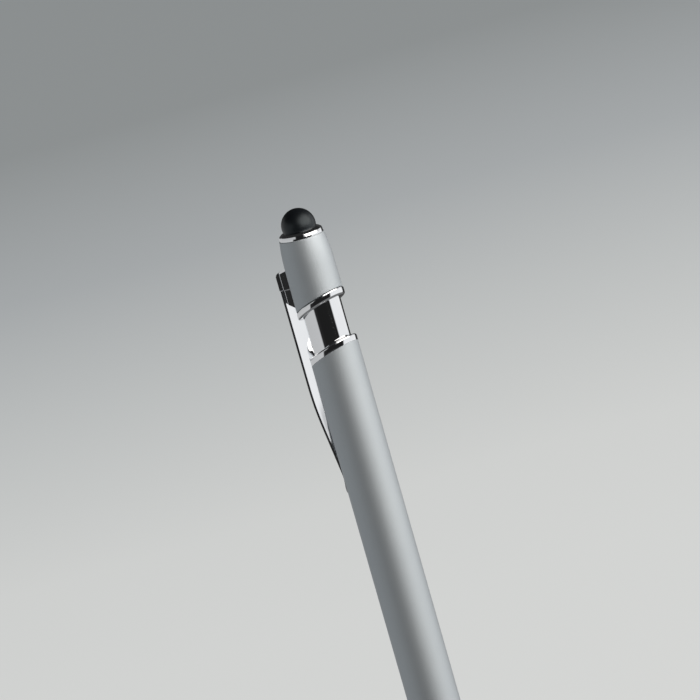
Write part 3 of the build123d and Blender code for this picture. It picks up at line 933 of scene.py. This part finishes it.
@dataclass
class PocketClip:
    """Chrome clip: a strip with a hollow back, a root block that narrows towards the cap, and a lug."""

    cap: PushCap
    reach: float = 8.2
    curve_radius: float = 8.0
    thickness: float = 0.45
    width: float = 5.0
    head_width: float = 5.5
    head_rise: float = 8.25
    head_height: float = 5.9
    cheek_height: float = 3.35
    top_slope: float = 0.3
    foot_slope: float = 0.78
    corner_round: float = 2.2
    corner_steps: int = 16
    brow_round: float = 0.8
    brow_steps: int = 12
    wall_turn: float = 27.0
    section_steps: int = 20
    groove: float = 0.22
    ledge: float = 0.25
    lean_height: float = 0.5
    lean_depth: float = 0.12
    tool_room: float = 1.5
    tool_gap: float = 0.015
    trim_gap: float = 0.1125
    root_width: float = 4.96
    root_reach: float = 4.32
    neck_width: float = 2.9
    neck_reach: float = 5.4
    lean_length: float = 15.5
    bend_radius: float = 60.0
    bend_steps: int = 8
    touch_rise: float = 4.0
    touch_reach: float = 5.545
    touch_radius: float = 5.0
    tip_width: float = 3.8
    tip_flare: float = 0.6
    tip_sweep: float = 85.0
    tip_steps: int = 10
    seat_gap: float = 0.06
    lug_width: float = 2.8
    lug_height: float = 4.6
    crease: float = 10.0

    def __post_init__(self) -> None:
        """Take the levels from the frame and the cap."""
        self.end = level("clip", top=False)
        self.touch = self.end + self.touch_rise
        self.bend = self.touch + self.lean_length
        self.top = self.cap.cut - self.cap.bead_height + self.head_rise
        self.above = self.top + self.top_slope * self.reach
        self.foot = self.top - self.head_height
        self.cheek = self.top - self.cheek_height
        self.middle = self.thickness / 2 - self.reach
        self.swell = (self.head_width - self.width) / 2

    def build(self) -> None:
        """Make the clip: strip and root block as one, trimmed at the top and seated on the cap."""
        clip = self.build_strip()
        join(clip, self.build_root(), Joining.FUSE)
        join(clip, self.trim_tool(), Joining.COMMON)
        for side in (1.0, -1.0):
            join(clip, self.lean_tool(side), Joining.CUT)
        join(clip, self.brow_tool(), Joining.COMMON)
        shade(clip, self.crease)
        self.seat(clip)
        carry(clip, Body.CLIP, CHROME, "clip")

    def stations(self) -> list[tuple[float, float, float]]:
        """Follow the strip from the top down.

        Returns:
            Place of the middle, level and half width of each cross section.
        """
        tip = self.tip_width / 2
        half = self.width / 2
        head = self.head_width / 2
        round_level = self.end + tip
        top = (self.middle, self.above)
        bend = (self.middle, self.bend)
        touch = (-self.touch_reach, self.touch)
        end = (-self.touch_reach - self.tip_flare, self.end)
        line = round_corner(top, bend, touch, self.bend_radius, self.bend_steps)
        line += round_corner(bend, touch, end, self.touch_radius, self.bend_steps)
        step = self.cheek - self.ledge
        sections = [(*top, head), (self.middle, self.cheek, head), (self.middle, step, half)]
        for x, z in line:
            share = min(1.0, (z - round_level) / (self.bend - round_level))
            sections.append((x, z, tip + (half - tip) * share))
        flare = Vector(end) - Vector(line[-1])
        for across, down in arc((0.0, 0.0), tip, 0.0, self.tip_sweep, self.tip_steps):
            z = round_level - down
            x = line[-1][0] + flare.x * (z - line[-1][1]) / flare.y
            sections.append((x, z, across))
        return sections

    def section(self, half: float) -> list[Corner]:
        """Give the strip's cross section, its middle at the origin and its hollow to +x.

        Args:
            half: Half its width.

        Returns:
            Its corners, with end walls that all face the same way.
        """
        inner_half = max(0.0, half - self.thickness * math.sin(math.radians(self.wall_turn)))
        corners = []
        for radius, across, way in (
            (self.curve_radius, half, 1.0),
            (self.curve_radius - self.thickness, inner_half, -1.0),
        ):
            reach = math.degrees(math.asin(across / radius))
            corners += arc((0.0, 0.0), radius, -reach * way, reach * way, self.section_steps)
        return [(self.curve_radius - self.thickness / 2 - x, y) for x, y in corners]

    def build_strip(self) -> bpy.types.Object:
        """Make the strip from its cross sections.

        Returns:
            The strip.
        """
        rings = []
        for x, z, half in self.stations():
            rings.append([Vector((x + along, y, z)) for along, y in self.section(half)])
        return stack("clip_spring", rings)

    def root_plan(self, grow: float) -> list[Corner]:
        """Give the root's outline seen from the top, from inside the strip to inside the cap's wall.

        Args:
            grow: How far its walls are moved out.

        Returns:
            Its corners, with a groove behind the strip.
        """
        wall_half = self.root_width / 2 + grow
        neck_half = self.neck_width / 2 + grow
        middle_radius = self.curve_radius - self.thickness / 2
        strip_x = self.curve_radius - self.reach - math.sqrt(middle_radius ** 2 - wall_half ** 2)
        fall = (wall_half - neck_half) / (-self.neck_reach - strip_x)
        back_x = strip_x + self.thickness
        groove_x = back_x + self.groove
        side = [
            (strip_x, self.groove - wall_half),
            (back_x, self.groove - wall_half + fall * self.thickness),
            (groove_x, fall * (groove_x - strip_x) - wall_half),
            (-self.neck_reach, -neck_half),
            (-self.root_reach, -neck_half),
        ]
        return [(self.middle, 0.0), *side, *[(x, -y) for x, y in reversed(side)]]

    def crosswise_tool(self, name: str, profile: Sequence[Corner]) -> bpy.types.Object:
        """Make a tool that runs across the whole clip.

        Args:
            name: Name of the tool.
            profile: Corners seen from the side, as place and level.

        Returns:
            The tool.
        """
        corners = [Vector((x, -self.head_width, z)) for x, z in profile]
        return prism(name, corners, Vector((0.0, 2 * self.head_width, 0.0)))

    def build_root(self) -> bpy.types.Object:
        """Make the block between strip and cap, with a ledge at the cheek line and a falling foot.

        Returns:
            The block.
        """
        inner = self.thickness - self.root_reach
        foot = self.foot + self.foot_slope * self.thickness
        low = foot - self.foot_slope * (inner + self.reach)
        high = self.above + self.thickness
        narrow = self.root_plan(0.0)
        wide = self.root_plan(self.swell)
        levels = (
            (low - CUT_ROOM, narrow),
            (self.cheek - self.ledge, narrow),
            (self.cheek, wide),
            (high, wide),
        )
        root = stack("root_block", [[Vector((x, y, z)) for x, y in plan] for z, plan in levels])
        roof = high + CUT_ROOM
        profile = [(-self.reach, roof), (inner, roof), (inner, low), (-self.reach, foot)]
        join(root, self.crosswise_tool("foot_tool", profile), Joining.COMMON)
        return root

    def trim_tool(self) -> bpy.types.Object:
        """Give the form that trims the top, with a rounded outer corner.

        Returns:
            The form.
        """
        outer = -self.reach - self.trim_gap
        inner = -self.root_reach
        high = (inner, self.top + self.top_slope * (self.reach - self.root_reach))
        below = self.end - self.thickness
        start = (outer, below)
        corner = round_corner(start, (outer, self.top), high, self.corner_round, self.corner_steps)
        return self.crosswise_tool("trim_tool", [*corner, high, (inner, below), start])

    def brow_tool(self) -> bpy.types.Object:
        """Give the form that rounds the head's upper corners, as seen from outside the clip.

        Returns:
            The form.
        """
        room = self.tool_room
        half = self.head_width / 2 + self.tool_gap
        top = self.top - self.top_slope * room + self.tool_gap
        low = self.end - self.head_height
        inside = half - self.brow_round
        centre = top - self.brow_round
        outline = [
            (-half, low),
            *arc((-inside, centre), self.brow_round, 180.0, 90.0, self.brow_steps),
            *arc((inside, centre), self.brow_round, 90.0, 0.0, self.brow_steps),
            (half, low),
        ]
        run = self.reach + room
        corners = [Vector((-run, y, z)) for y, z in outline]
        return prism("brow_tool", corners, Vector((run, 0.0, self.top_slope * run)))

    def lean_tool(self, side: float) -> bpy.types.Object:
        """Give the wedge that leans the top edge of the head's wall in.

        Args:
            side: 1 for the wall towards -Y, -1 for the other.

        Returns:
            The wedge.
        """
        start, stop = (Vector(corner) for corner in self.root_plan(self.swell)[3:5])
        along = (stop - start).normalized()
        out = Vector((along.y, -along.x))
        room = self.tool_room
        first = start - along * room
        top = self.top + self.top_slope * (first.x + self.reach)
        corners = []
        for away, up in (
            (self.tool_gap, -self.lean_height),
            (-self.lean_depth, 0.0),
            (-self.lean_depth - room, room),
            (room, room),
            (room, -self.lean_height),
        ):
            place = first + out * away
            corners.append(Vector((place.x, place.y * side, top + up)))
        run = (stop - start).length + 2 * room
        way = Vector((along.x * run, along.y * run * side, self.top_slope * along.x * run))
        return prism("lean_tool", corners, way)

    def seat(self, clip: bpy.types.Object) -> None:
        """Cut the seat for the cap and add the lug behind it.

        Args:
            clip: The trimmed clip.
        """
        side = self.cap.side(self.seat_gap)
        low = self.cap.cut - self.cap.bead_height - self.head_height
        form = [(0.0, low), (side[0][0], low), *side[1:], (0.0, self.cap.top)]
        join(clip, turn("seat_tool", form, closed=False), Joining.CUT)
        centre = (self.cap.slot_low + self.cap.slot_high) / 2
        half_width = self.lug_width / 2
        half_height = self.lug_height / 2
        near = Vector((self.middle + self.thickness, -half_width, centre - half_height))
        far = Vector((-self.root_reach - self.thickness, half_width, centre + half_height))
        join(clip, block("lug_tool", near, far), Joining.FUSE)


@dataclass
class Barrel:
    """Grey barrel, its oblique chrome ring, the bright tube and the front bush."""

    radius: float = 5.2
    bore: float = 4.14
    front_chamfer: float = 0.3
    ring_height: float = 1.45
    ring_round: float = 0.45
    ring_steps: int = 8
    tube_radius: float = 4.12
    tube_bore: float = 3.72
    bush_radius: float = 4.12
    bush_bore: float = 3.47
    edge: float = 0.04

    def __post_init__(self) -> None:
        """Take the levels from the frame."""
        self.front = level("barrel", top=False)
        self.cut = level("barrel", top=True) - CUT_SLOPE * self.radius

    def at_cut(self, point: Vector) -> bool:
        """Say whether a point, in metres, belongs to the oblique upper end."""
        return point.z > (self.cut - self.edge) * MM

    def build(self) -> None:
        """Make the four pieces."""
        self.build_shell()
        self.build_ring()
        self.build_tube()
        self.build_bush()

    def build_shell(self) -> None:
        """Make the barrel with its chamfered front and oblique end."""
        outline = [
            (self.bore, self.front),
            (self.radius - self.front_chamfer, self.front),
            (self.radius, self.front + self.front_chamfer),
            (self.radius, self.cut),
            (self.bore, self.cut),
        ]
        shell = lathe("barrel_shell", outline, self.edge, oblique=self.at_cut)
        carry(shell, Body.BARREL, ALUMINIUM, "barrel")

    def build_ring(self) -> None:
        """Make the chrome ring, rounded on its upper rim."""
        top = self.cut + self.ring_height
        centre = (self.radius - self.ring_round, top - self.ring_round)
        outline = [
            (self.bore, self.cut),
            (self.radius, self.cut),
            *arc(centre, self.ring_round, 0.0, 90.0, self.ring_steps),
            (self.bore, top),
        ]
        ring = lathe("barrel_end_ring", outline, self.edge, oblique=lambda point: True)
        carry(ring, Body.BARREL, CHROME, "barrel_trim_ring")

    def build_tube(self) -> None:
        """Make the bright tube on which the cap glides."""
        outline = wall(self.tube_bore, self.tube_radius, *span("inner_tube"))
        carry(lathe("bright_tube", outline, self.edge), Body.BARREL, CHROME, "inner_tube")

    def build_bush(self) -> None:
        """Make the brass bush in the barrel's front."""
        outline = wall(self.bush_bore, self.bush_radius, *span("barrel_bush"))
        carry(lathe("front_bush", outline, self.edge), Body.BARREL, BRASS, "barrel_bush")


@dataclass
class Nose:
    """Chrome nose cone with a threaded spigot."""

    radius: float = 4.9
    length: float = 16.0
    collar_length: float = 2.6
    tip_radius: float = 1.75
    tip_round: float = 0.35
    tip_steps: int = 5
    bulge: float = 0.43
    bulge_steps: int = 20
    tip_bore: float = 1.3
    bore: float = 2.3
    ledge: float = 6.5
    root_radius: float = 3.22
    thread_radius: float = 3.45
    thread_pitch: float = 0.75
    thread_turns: int = 7
    edge: float = 0.06

    def build(self) -> None:
        """Make the cone and its thread."""
        self.build_cone()
        self.build_thread()

    def build_cone(self) -> None:
        """Make the bowed cone, its band and the bored spigot."""
        band = self.length - self.collar_length
        top = level("nose_cone", top=True)
        side = bow((self.tip_radius, 0.0), (self.radius, band), self.bulge, self.bulge_steps)
        opening = (self.tip_bore, 0.0)
        outline = [
            *round_corner(opening, side[0], side[1], self.tip_round, self.tip_steps),
            *side[2:],
            (self.radius, self.length),
            (self.root_radius, self.length),
            (self.root_radius, top),
            (self.bore, top),
            (self.bore, self.ledge),
            (self.tip_bore, self.ledge),
            opening,
        ]
        carry(lathe("nose_shell", outline, self.edge), Body.NOSE, CHROME, "nose_cone")

    def build_thread(self) -> None:
        """Wind the thread's ridge round the spigot, with a narrow gap between its turns."""
        start = self.length + self.thread_pitch
        half = self.thread_pitch / 2 - self.edge / 2
        sunk = self.root_radius - self.edge
        ridge = [(sunk, start - half), (self.thread_radius, start), (sunk, start + half)]
        carry(wind("nose_thread", ridge, self.thread_pitch, self.thread_turns), Body.NOSE, CHROME)


@dataclass
class Refill:
    """Ink tube, ink, brass holder, point, ball and the return spring."""

    tube_radius: float = 1.5
    tube_bore: float = 1.2
    ink_radius: float = 1.18
    shoulder_radius: float = 2.05
    shoulder_height: float = 1.0
    tail_length: float = 4.0
    point_radius: float = 1.15
    point_length: float = 7.0
    cone_length: float = 2.2
    lip_radius: float = 0.64
    channel_radius: float = 0.3
    point_tail_radius: float = 0.85
    point_tail_length: float = 3.0
    ball_radius: float = 0.5
    ball_steps: int = 16
    ball_room: float = 0.02
    seat_steps: int = 12
    spring_radius: float = 1.85
    wire_radius: float = 0.2
    wire_sides: int = 12
    spring_turns: int = 9
    edge: float = 0.05
    fine_edge: float = 0.02

    def __post_init__(self) -> None:
        """Take the levels from the frame."""
        self.ball_centre = level("writing_ball", top=False) + self.ball_radius
        self.lip = level("refill_point", top=False)
        self.point_top = self.lip + self.point_length
        self.point_tail = self.point_top + self.point_tail_length
        self.holder_top = level("refill_tube", top=False)
        self.shoulder = self.holder_top - self.shoulder_height

    def build(self) -> None:
        """Make the six pieces."""
        self.build_tube_and_ink()
        self.build_holder()
        self.build_point()
        self.build_ball()
        self.build_spring()

    def build_tube_and_ink(self) -> None:
        """Make the ink tube and the ink in it, which is hollow on top."""
        outline = wall(self.tube_bore, self.tube_radius, *span("refill_tube"))
        tube = lathe("ink_tube", outline, self.edge, steps=FINE_STEPS)
        carry(tube, Body.REFILL, POLYPROPYLENE, "refill_tube")
        low, high = span("ink_column")
        hollow = (0.0, high - self.tube_bore / 2)
        fill = [(0.0, low), (self.ink_radius, low), (self.ink_radius, high), hollow]
        ink = lathe("ink_fill", fill, self.edge, closed=False, steps=FINE_STEPS)
        carry(ink, Body.REFILL, INK, "ink_column")

    def build_holder(self) -> None:
        """Make the brass holder, with the shoulder that the spring pushes on."""
        tail = self.holder_top + self.tail_length
        outline = [
            (self.point_tail_radius, self.point_top),
            (self.point_radius, self.point_top),
            (self.point_radius, self.shoulder),
            (self.shoulder_radius, self.shoulder),
            (self.shoulder_radius, self.holder_top),
            (self.ink_radius, self.holder_top),
            (self.ink_radius, tail),
            (self.channel_radius, tail),
            (self.channel_radius, self.point_tail),
            (self.point_tail_radius, self.point_tail),
        ]
        holder = lathe("point_carrier", outline, self.edge, steps=FINE_STEPS)
        carry(holder, Body.REFILL, BRASS, "point_holder")

    def build_point(self) -> None:
        """Make the turned point with its lip round the ball."""
        seat = self.ball_radius + self.ball_room
        start = math.degrees(math.acos(self.channel_radius / seat))
        stop = math.degrees(math.asin((self.lip - self.ball_centre) / seat))
        outline = [
            *arc((0.0, self.ball_centre), seat, start, stop, self.seat_steps),
            (self.lip_radius - self.fine_edge, self.lip),
            (self.point_radius, self.lip + self.cone_length),
            (self.point_radius, self.point_top),
            (self.point_tail_radius, self.point_top),
            (self.point_tail_radius, self.point_tail),
            (self.channel_radius, self.point_tail),
        ]
        point = lathe("point_cone", outline, self.fine_edge, steps=FINE_STEPS)
        carry(point, Body.REFILL, NICKEL_SILVER, "refill_point")

    def build_ball(self) -> None:
        """Make the writing ball."""
        outline = arc((0.0, self.ball_centre), self.ball_radius, -90.0, 90.0, self.ball_steps)
        ball = turn("writing_bead", outline, closed=False, steps=FINE_STEPS)
        bpy.ops.object.shade_smooth_by_angle(angle=math.radians(SMOOTH_ANGLE))
        carry(ball, Body.BALL, CARBIDE, "writing_ball")

    def build_spring(self) -> None:
        """Wind the return spring; the mesh does not shorten as the refill comes forward."""
        low, high = span("refill_spring")
        climb = (high - low - 2 * self.wire_radius) / self.spring_turns
        start = (self.spring_radius, low + self.wire_radius)
        section = arc(start, self.wire_radius, 0.0, 360.0, self.wire_sides)[:-1]
        spring = wind("return_spring", section, climb, self.spring_turns)
        carry(spring, Body.BARREL, SPRING_WIRE, "refill_spring")
        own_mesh(spring)


@dataclass
class ClickCam:
    """Moulded pieces of the click cam, which keep their CAD shape."""

    nodes: tuple[str, ...] = ("pusher", "cam_housing", "rotor")

    def build(self) -> None:
        """Dress the three nodes."""
        for name in self.nodes:
            node = frame["nodes"][name]
            node.data.materials.clear()
            node.data.materials.append(ACETAL.material())
            log.info("%s: %s", name, ACETAL.name)


@dataclass
class Studio:
    """Pale sweep, a ring of light and dark bands, a soft box and the camera at the photograph's angle."""

    azimuth: float = 47.0
    elevation: float = 10.0
    roll: float = 15.9
    distance: float = 1200.0
    pixels_per_mm: float = 5.01
    image: float = 700.0
    dome_pixel: Pair = (298.5, 225.3)
    sensor: float = 36.0
    floor_size: float = 12000.0
    floor_room: float = 2.0
    floor_colour: str = "#7C7C7C"
    sky: str = "#C8CACA"
    ceiling_light: float = 0.025
    ground_light: float = 0.19
    box_turn: float = 56.0
    box_lift: float = 26.0
    box_distance: float = 900.0
    box_width: float = 1450.0
    box_height: float = 1000.0
    box_power: float = 12.8
    box_colour: str = "#FFF8F1"

    # Heights of a ray's direction between which the light turns from the low bands to the high ones,
    # from those to the ceiling, and from the bands to the ground
    raised: Pair = (-0.10, -0.02)
    over: Pair = (0.34, 0.46)
    under: Pair = (-0.30, -0.55)

    # Glow of the sweep: row of the photograph in its middle column, and colour
    glow: tuple[tuple[float, str], ...] = (
        (620.0, "#C6C8C7"),
        (500.0, "#C4C6C5"),
        (350.0, "#B4B7B7"),
        (208.0, "#9CA0A2"),
        (60.0, "#85898A"),
    )

    # Light round the pen: degrees to the right of the camera, brightness below eye level and above it
    bands: tuple[tuple[float, float, float], ...] = (
        (-180.0, 0.03, 0.03),
        (-172.0, 0.58, 0.04),
        (-150.0, 0.58, 0.04),
        (-140.0, 0.58, 0.56),
        (-52.0, 0.62, 0.56),
        (-46.5, 0.025, 0.56),
        (-36.0, 0.02, 0.56),
        (-30.0, 0.015, 0.015),
        (8.0, 0.015, 0.015),
        (16.0, 0.015, 0.65),
        (49.0, 0.015, 0.65),
        (55.0, 1.0, 0.65),
        (105.0, 1.0, 0.65),
        (112.0, 1.0, 0.85),
        (133.0, 1.0, 0.85),
        (139.0, 0.03, 0.05),
    )

    def __post_init__(self) -> None:
        """Work out the camera's directions and its place."""
        turn_to, lift, lean = (math.radians(a) for a in (self.azimuth, self.elevation, self.roll))
        self.ahead = Vector((math.sin(turn_to), -math.cos(turn_to), 0.0))
        self.right = Vector((math.cos(turn_to), math.sin(turn_to), 0.0))
        self.back = self.ahead * math.cos(lift) + Vector((0.0, 0.0, math.sin(lift)))
        up = self.back.cross(self.right)
        self.image_right = self.right * math.cos(lean) - up * math.sin(lean)
        self.image_up = self.right * math.sin(lean) + up * math.cos(lean)
        dome = Vector((0.0, 0.0, level("stylus_tip", top=True) - Stylus.dome_radius))
        across = (self.dome_pixel[0] - self.image / 2) / self.pixels_per_mm
        upward = (self.image / 2 - self.dome_pixel[1]) / self.pixels_per_mm
        self.eye = dome - self.image_right * across - self.image_up * upward + self.back * self.distance
        self.floor_level = -travel("nose_off") - self.floor_room

    def build(self) -> None:
        """Set up the view, the camera, the floor and the light."""
        bpy.context.scene.view_settings.view_transform = "Standard"
        self.place_camera()
        self.lay_floor()
        self.light()
        self.hang_soft_box()

    def place_camera(self) -> None:
        """Put the camera where the photograph was taken from."""
        lens = bpy.data.cameras.new("camera")
        lens.sensor_width = self.sensor
        lens.lens = self.sensor * self.pixels_per_mm * self.distance / self.image
        camera = bpy.data.objects.new("camera", lens)
        bpy.context.scene.collection.objects.link(camera)
        axes = Matrix((self.image_right, self.image_up, self.back)).transposed().to_4x4()
        camera.matrix_world = Matrix.Translation(self.eye * MM) @ axes
        bpy.context.scene.camera = camera

    def floor_point(self, column: float, row: float) -> Vector:
        """Give the place on the floor that a pixel of the photograph sees.

        Args:
            column: Pixel from the left.
            row: Pixel from the top.

        Returns:
            The place, in millimetres.
        """
        focal = self.pixels_per_mm * self.distance
        ray = self.image_right * (column - self.image / 2) + self.image_up * (self.image / 2 - row)
        ray -= self.back * focal
        return self.eye + ray * (self.floor_level - self.eye.z) / ray.z

    def lay_floor(self) -> None:
        """Lay the floor, whose glow falls off away from the camera as a lit sweep does."""
        bpy.ops.object.select_all(action="DESELECT")
        place = (0, 0, self.floor_level * MM)
        bpy.ops.mesh.primitive_plane_add(size=self.floor_size * MM, location=place)
        floor = bpy.context.object
        floor.name = "floor"
        floor.visible_glossy = False
        floor.data.materials.append(self.floor_material())

    def floor_material(self) -> bpy.types.Material:
        """Make the matte paper of the sweep, lifted to a pale grey where the sweep is shown.

        Returns:
            The paper.
        """
        paper = bpy.data.materials.new("matte_paper_sweep")
        paper.use_nodes = True
        tree = paper.node_tree
        tree.nodes.clear()
        away = -self.ahead
        depths = [self.floor_point(self.image / 2, row).dot(away) * MM for row, _ in self.glow]
        first, last = depths[0], depths[-1]
        stops = [
            ((depth - first) / (last - first), linear(colour))
            for depth, (_, colour) in zip(depths, self.glow)
        ]
        place = add_node(tree, "NewGeometry").outputs["Position"]
        along = add_node(tree, "VectorMath", {"operation": "DOT_PRODUCT", 1: away}, {0: place})
        bounds = {"From Min": first, "From Max": last}
        share = add_node(tree, "MapRange", bounds, {"Value": along.outputs["Value"]})
        glow = add_node(tree, "ValToRGB", {}, {"Fac": share.outputs["Result"]}, stops)
        glowing = {"Color": glow.outputs["Color"], "Strength": self.seen(tree)}
        lift = add_node(tree, "Emission", {}, glowing)
        matte = add_node(tree, "BsdfDiffuse", {"Color": linear(self.floor_colour)})
        shaders = {0: matte.outputs["BSDF"], 1: lift.outputs["Emission"]}
        both = add_node(tree, "AddShader", {}, shaders)
        add_node(tree, "OutputMaterial", {}, {"Surface": both.outputs["Shader"]})
        return paper

    def light(self) -> None:
        """Light the pen from a ring of soft bands, a dim ceiling and the ground."""
        world = bpy.data.worlds.new("studio")
        bpy.context.scene.world = world
        world.use_nodes = True
        tree = world.node_tree
        tree.nodes.clear()
        way = add_node(tree, "TexCoord").outputs["Generated"]
        ring = self.ring(tree, way)
        height = add_node(tree, "SeparateXYZ", {}, {"Vector": way}).outputs["Z"]
        shares = []
        for low, high in (self.raised, self.over, self.under):
            eased = {"interpolation_type": "SMOOTHSTEP", "From Min": low, "From Max": high}
            shares.append(add_node(tree, "MapRange", eased, {"Value": height}).outputs["Result"])
        halves = {0: shares[0], BLEND_A: ring.outputs["Red"], BLEND_B: ring.outputs["Green"]}
        whole = add_node(tree, "Mix", {}, halves)
        for share, light in zip(shares[1:], (self.ceiling_light, self.ground_light)):
            whole = add_node(tree, "Mix", {BLEND_B: light}, {0: share, BLEND_A: whole.outputs["Result"]})
        lamps = add_node(tree, "Background", {}, {"Color": whole.outputs["Result"]})
        backdrop = add_node(tree, "Background", {"Color": linear(self.sky)})
        views = {0: self.seen(tree), 1: lamps.outputs["Background"], 2: backdrop.outputs["Background"]}
        shown = add_node(tree, "MixShader", {}, views)
        add_node(tree, "OutputWorld", {}, {"Surface": shown.outputs["Shader"]})

    def ring(self, tree: bpy.types.NodeTree, way: bpy.types.NodeSocket) -> bpy.types.Node:
        """Lay the bands round the pen, with a dark gap on the camera's side.

        Args:
            tree: The world's nodes.
            way: Socket with the direction of a ray.

        Returns:
            The node with the low bands in its red output and the high ones in its green.
        """
        parts = []
        for axis in (self.right, self.ahead):
            part = add_node(tree, "VectorMath", {"operation": "DOT_PRODUCT", 1: axis}, {0: way})
            parts.append(part.outputs["Value"])
        angle = add_node(tree, "Math", {"operation": "ARCTAN2"}, dict(enumerate(parts)))
        circle = {"From Min": -math.pi, "From Max": math.pi}
        turned = add_node(tree, "MapRange", circle, {"Value": angle.outputs["Value"]})
        stops = [(degrees / 360 + 0.5, (low, high, 0.0, 1.0)) for degrees, low, high in self.bands]
        bands = add_node(tree, "ValToRGB", {}, {"Fac": turned.outputs["Result"]}, stops)
        return add_node(tree, "SeparateColor", {}, {"Color": bands.outputs["Color"]})

    def seen(self, tree: bpy.types.NodeTree) -> bpy.types.NodeSocket:
        """Tell rays that show the sweep, straight or through plastic, from those that show the ring.

        Args:
            tree: Node tree to add to.

        Returns:
            The socket that is one for the sweep and nought for the ring.
        """
        path = add_node(tree, "LightPath")
        rays = {0: path.outputs["Is Camera Ray"], 1: path.outputs["Is Transmission Ray"]}
        return add_node(tree, "Math", {"operation": "MAXIMUM"}, rays).outputs["Value"]

    def hang_soft_box(self) -> None:
        """Hang a soft box high on the camera's right."""
        turn_to, lift = math.radians(self.box_turn), math.radians(self.box_lift)
        level_way = self.ahead * math.cos(turn_to) + self.right * math.sin(turn_to)
        way = level_way * math.cos(lift) + Vector((0.0, 0.0, math.sin(lift)))
        lamp = bpy.data.lights.new("soft_box", "AREA")
        lamp.shape = "RECTANGLE"
        lamp.size = self.box_width * MM
        lamp.size_y = self.box_height * MM
        lamp.energy = self.box_power
        lamp.color = linear(self.box_colour)[:3]
        box = bpy.data.objects.new("soft_box", lamp)
        box.visible_camera = False
        bpy.context.scene.collection.objects.link(box)
        target = Vector((0.0, 0.0, level("barrel", top=True)))
        side = Vector((0.0, 0.0, 1.0)).cross(way).normalized()
        axes = Matrix((side, way.cross(side), way)).transposed().to_4x4()
        box.matrix_world = Matrix.Translation((target + way * self.box_distance) * MM) @ axes


def main() -> None:
    """Build the pen's sub-assemblies and the studio round it."""
    logging.basicConfig(level=logging.INFO, format="%(message)s")
    cap = PushCap()
    for assembly in (Stylus(), cap, PocketClip(cap), Barrel(), Nose(), Refill(), ClickCam(), Studio()):
        assembly.build()
        log.info("built: %s", type(assembly).__name__)


if __name__ == "__main__":
    main()
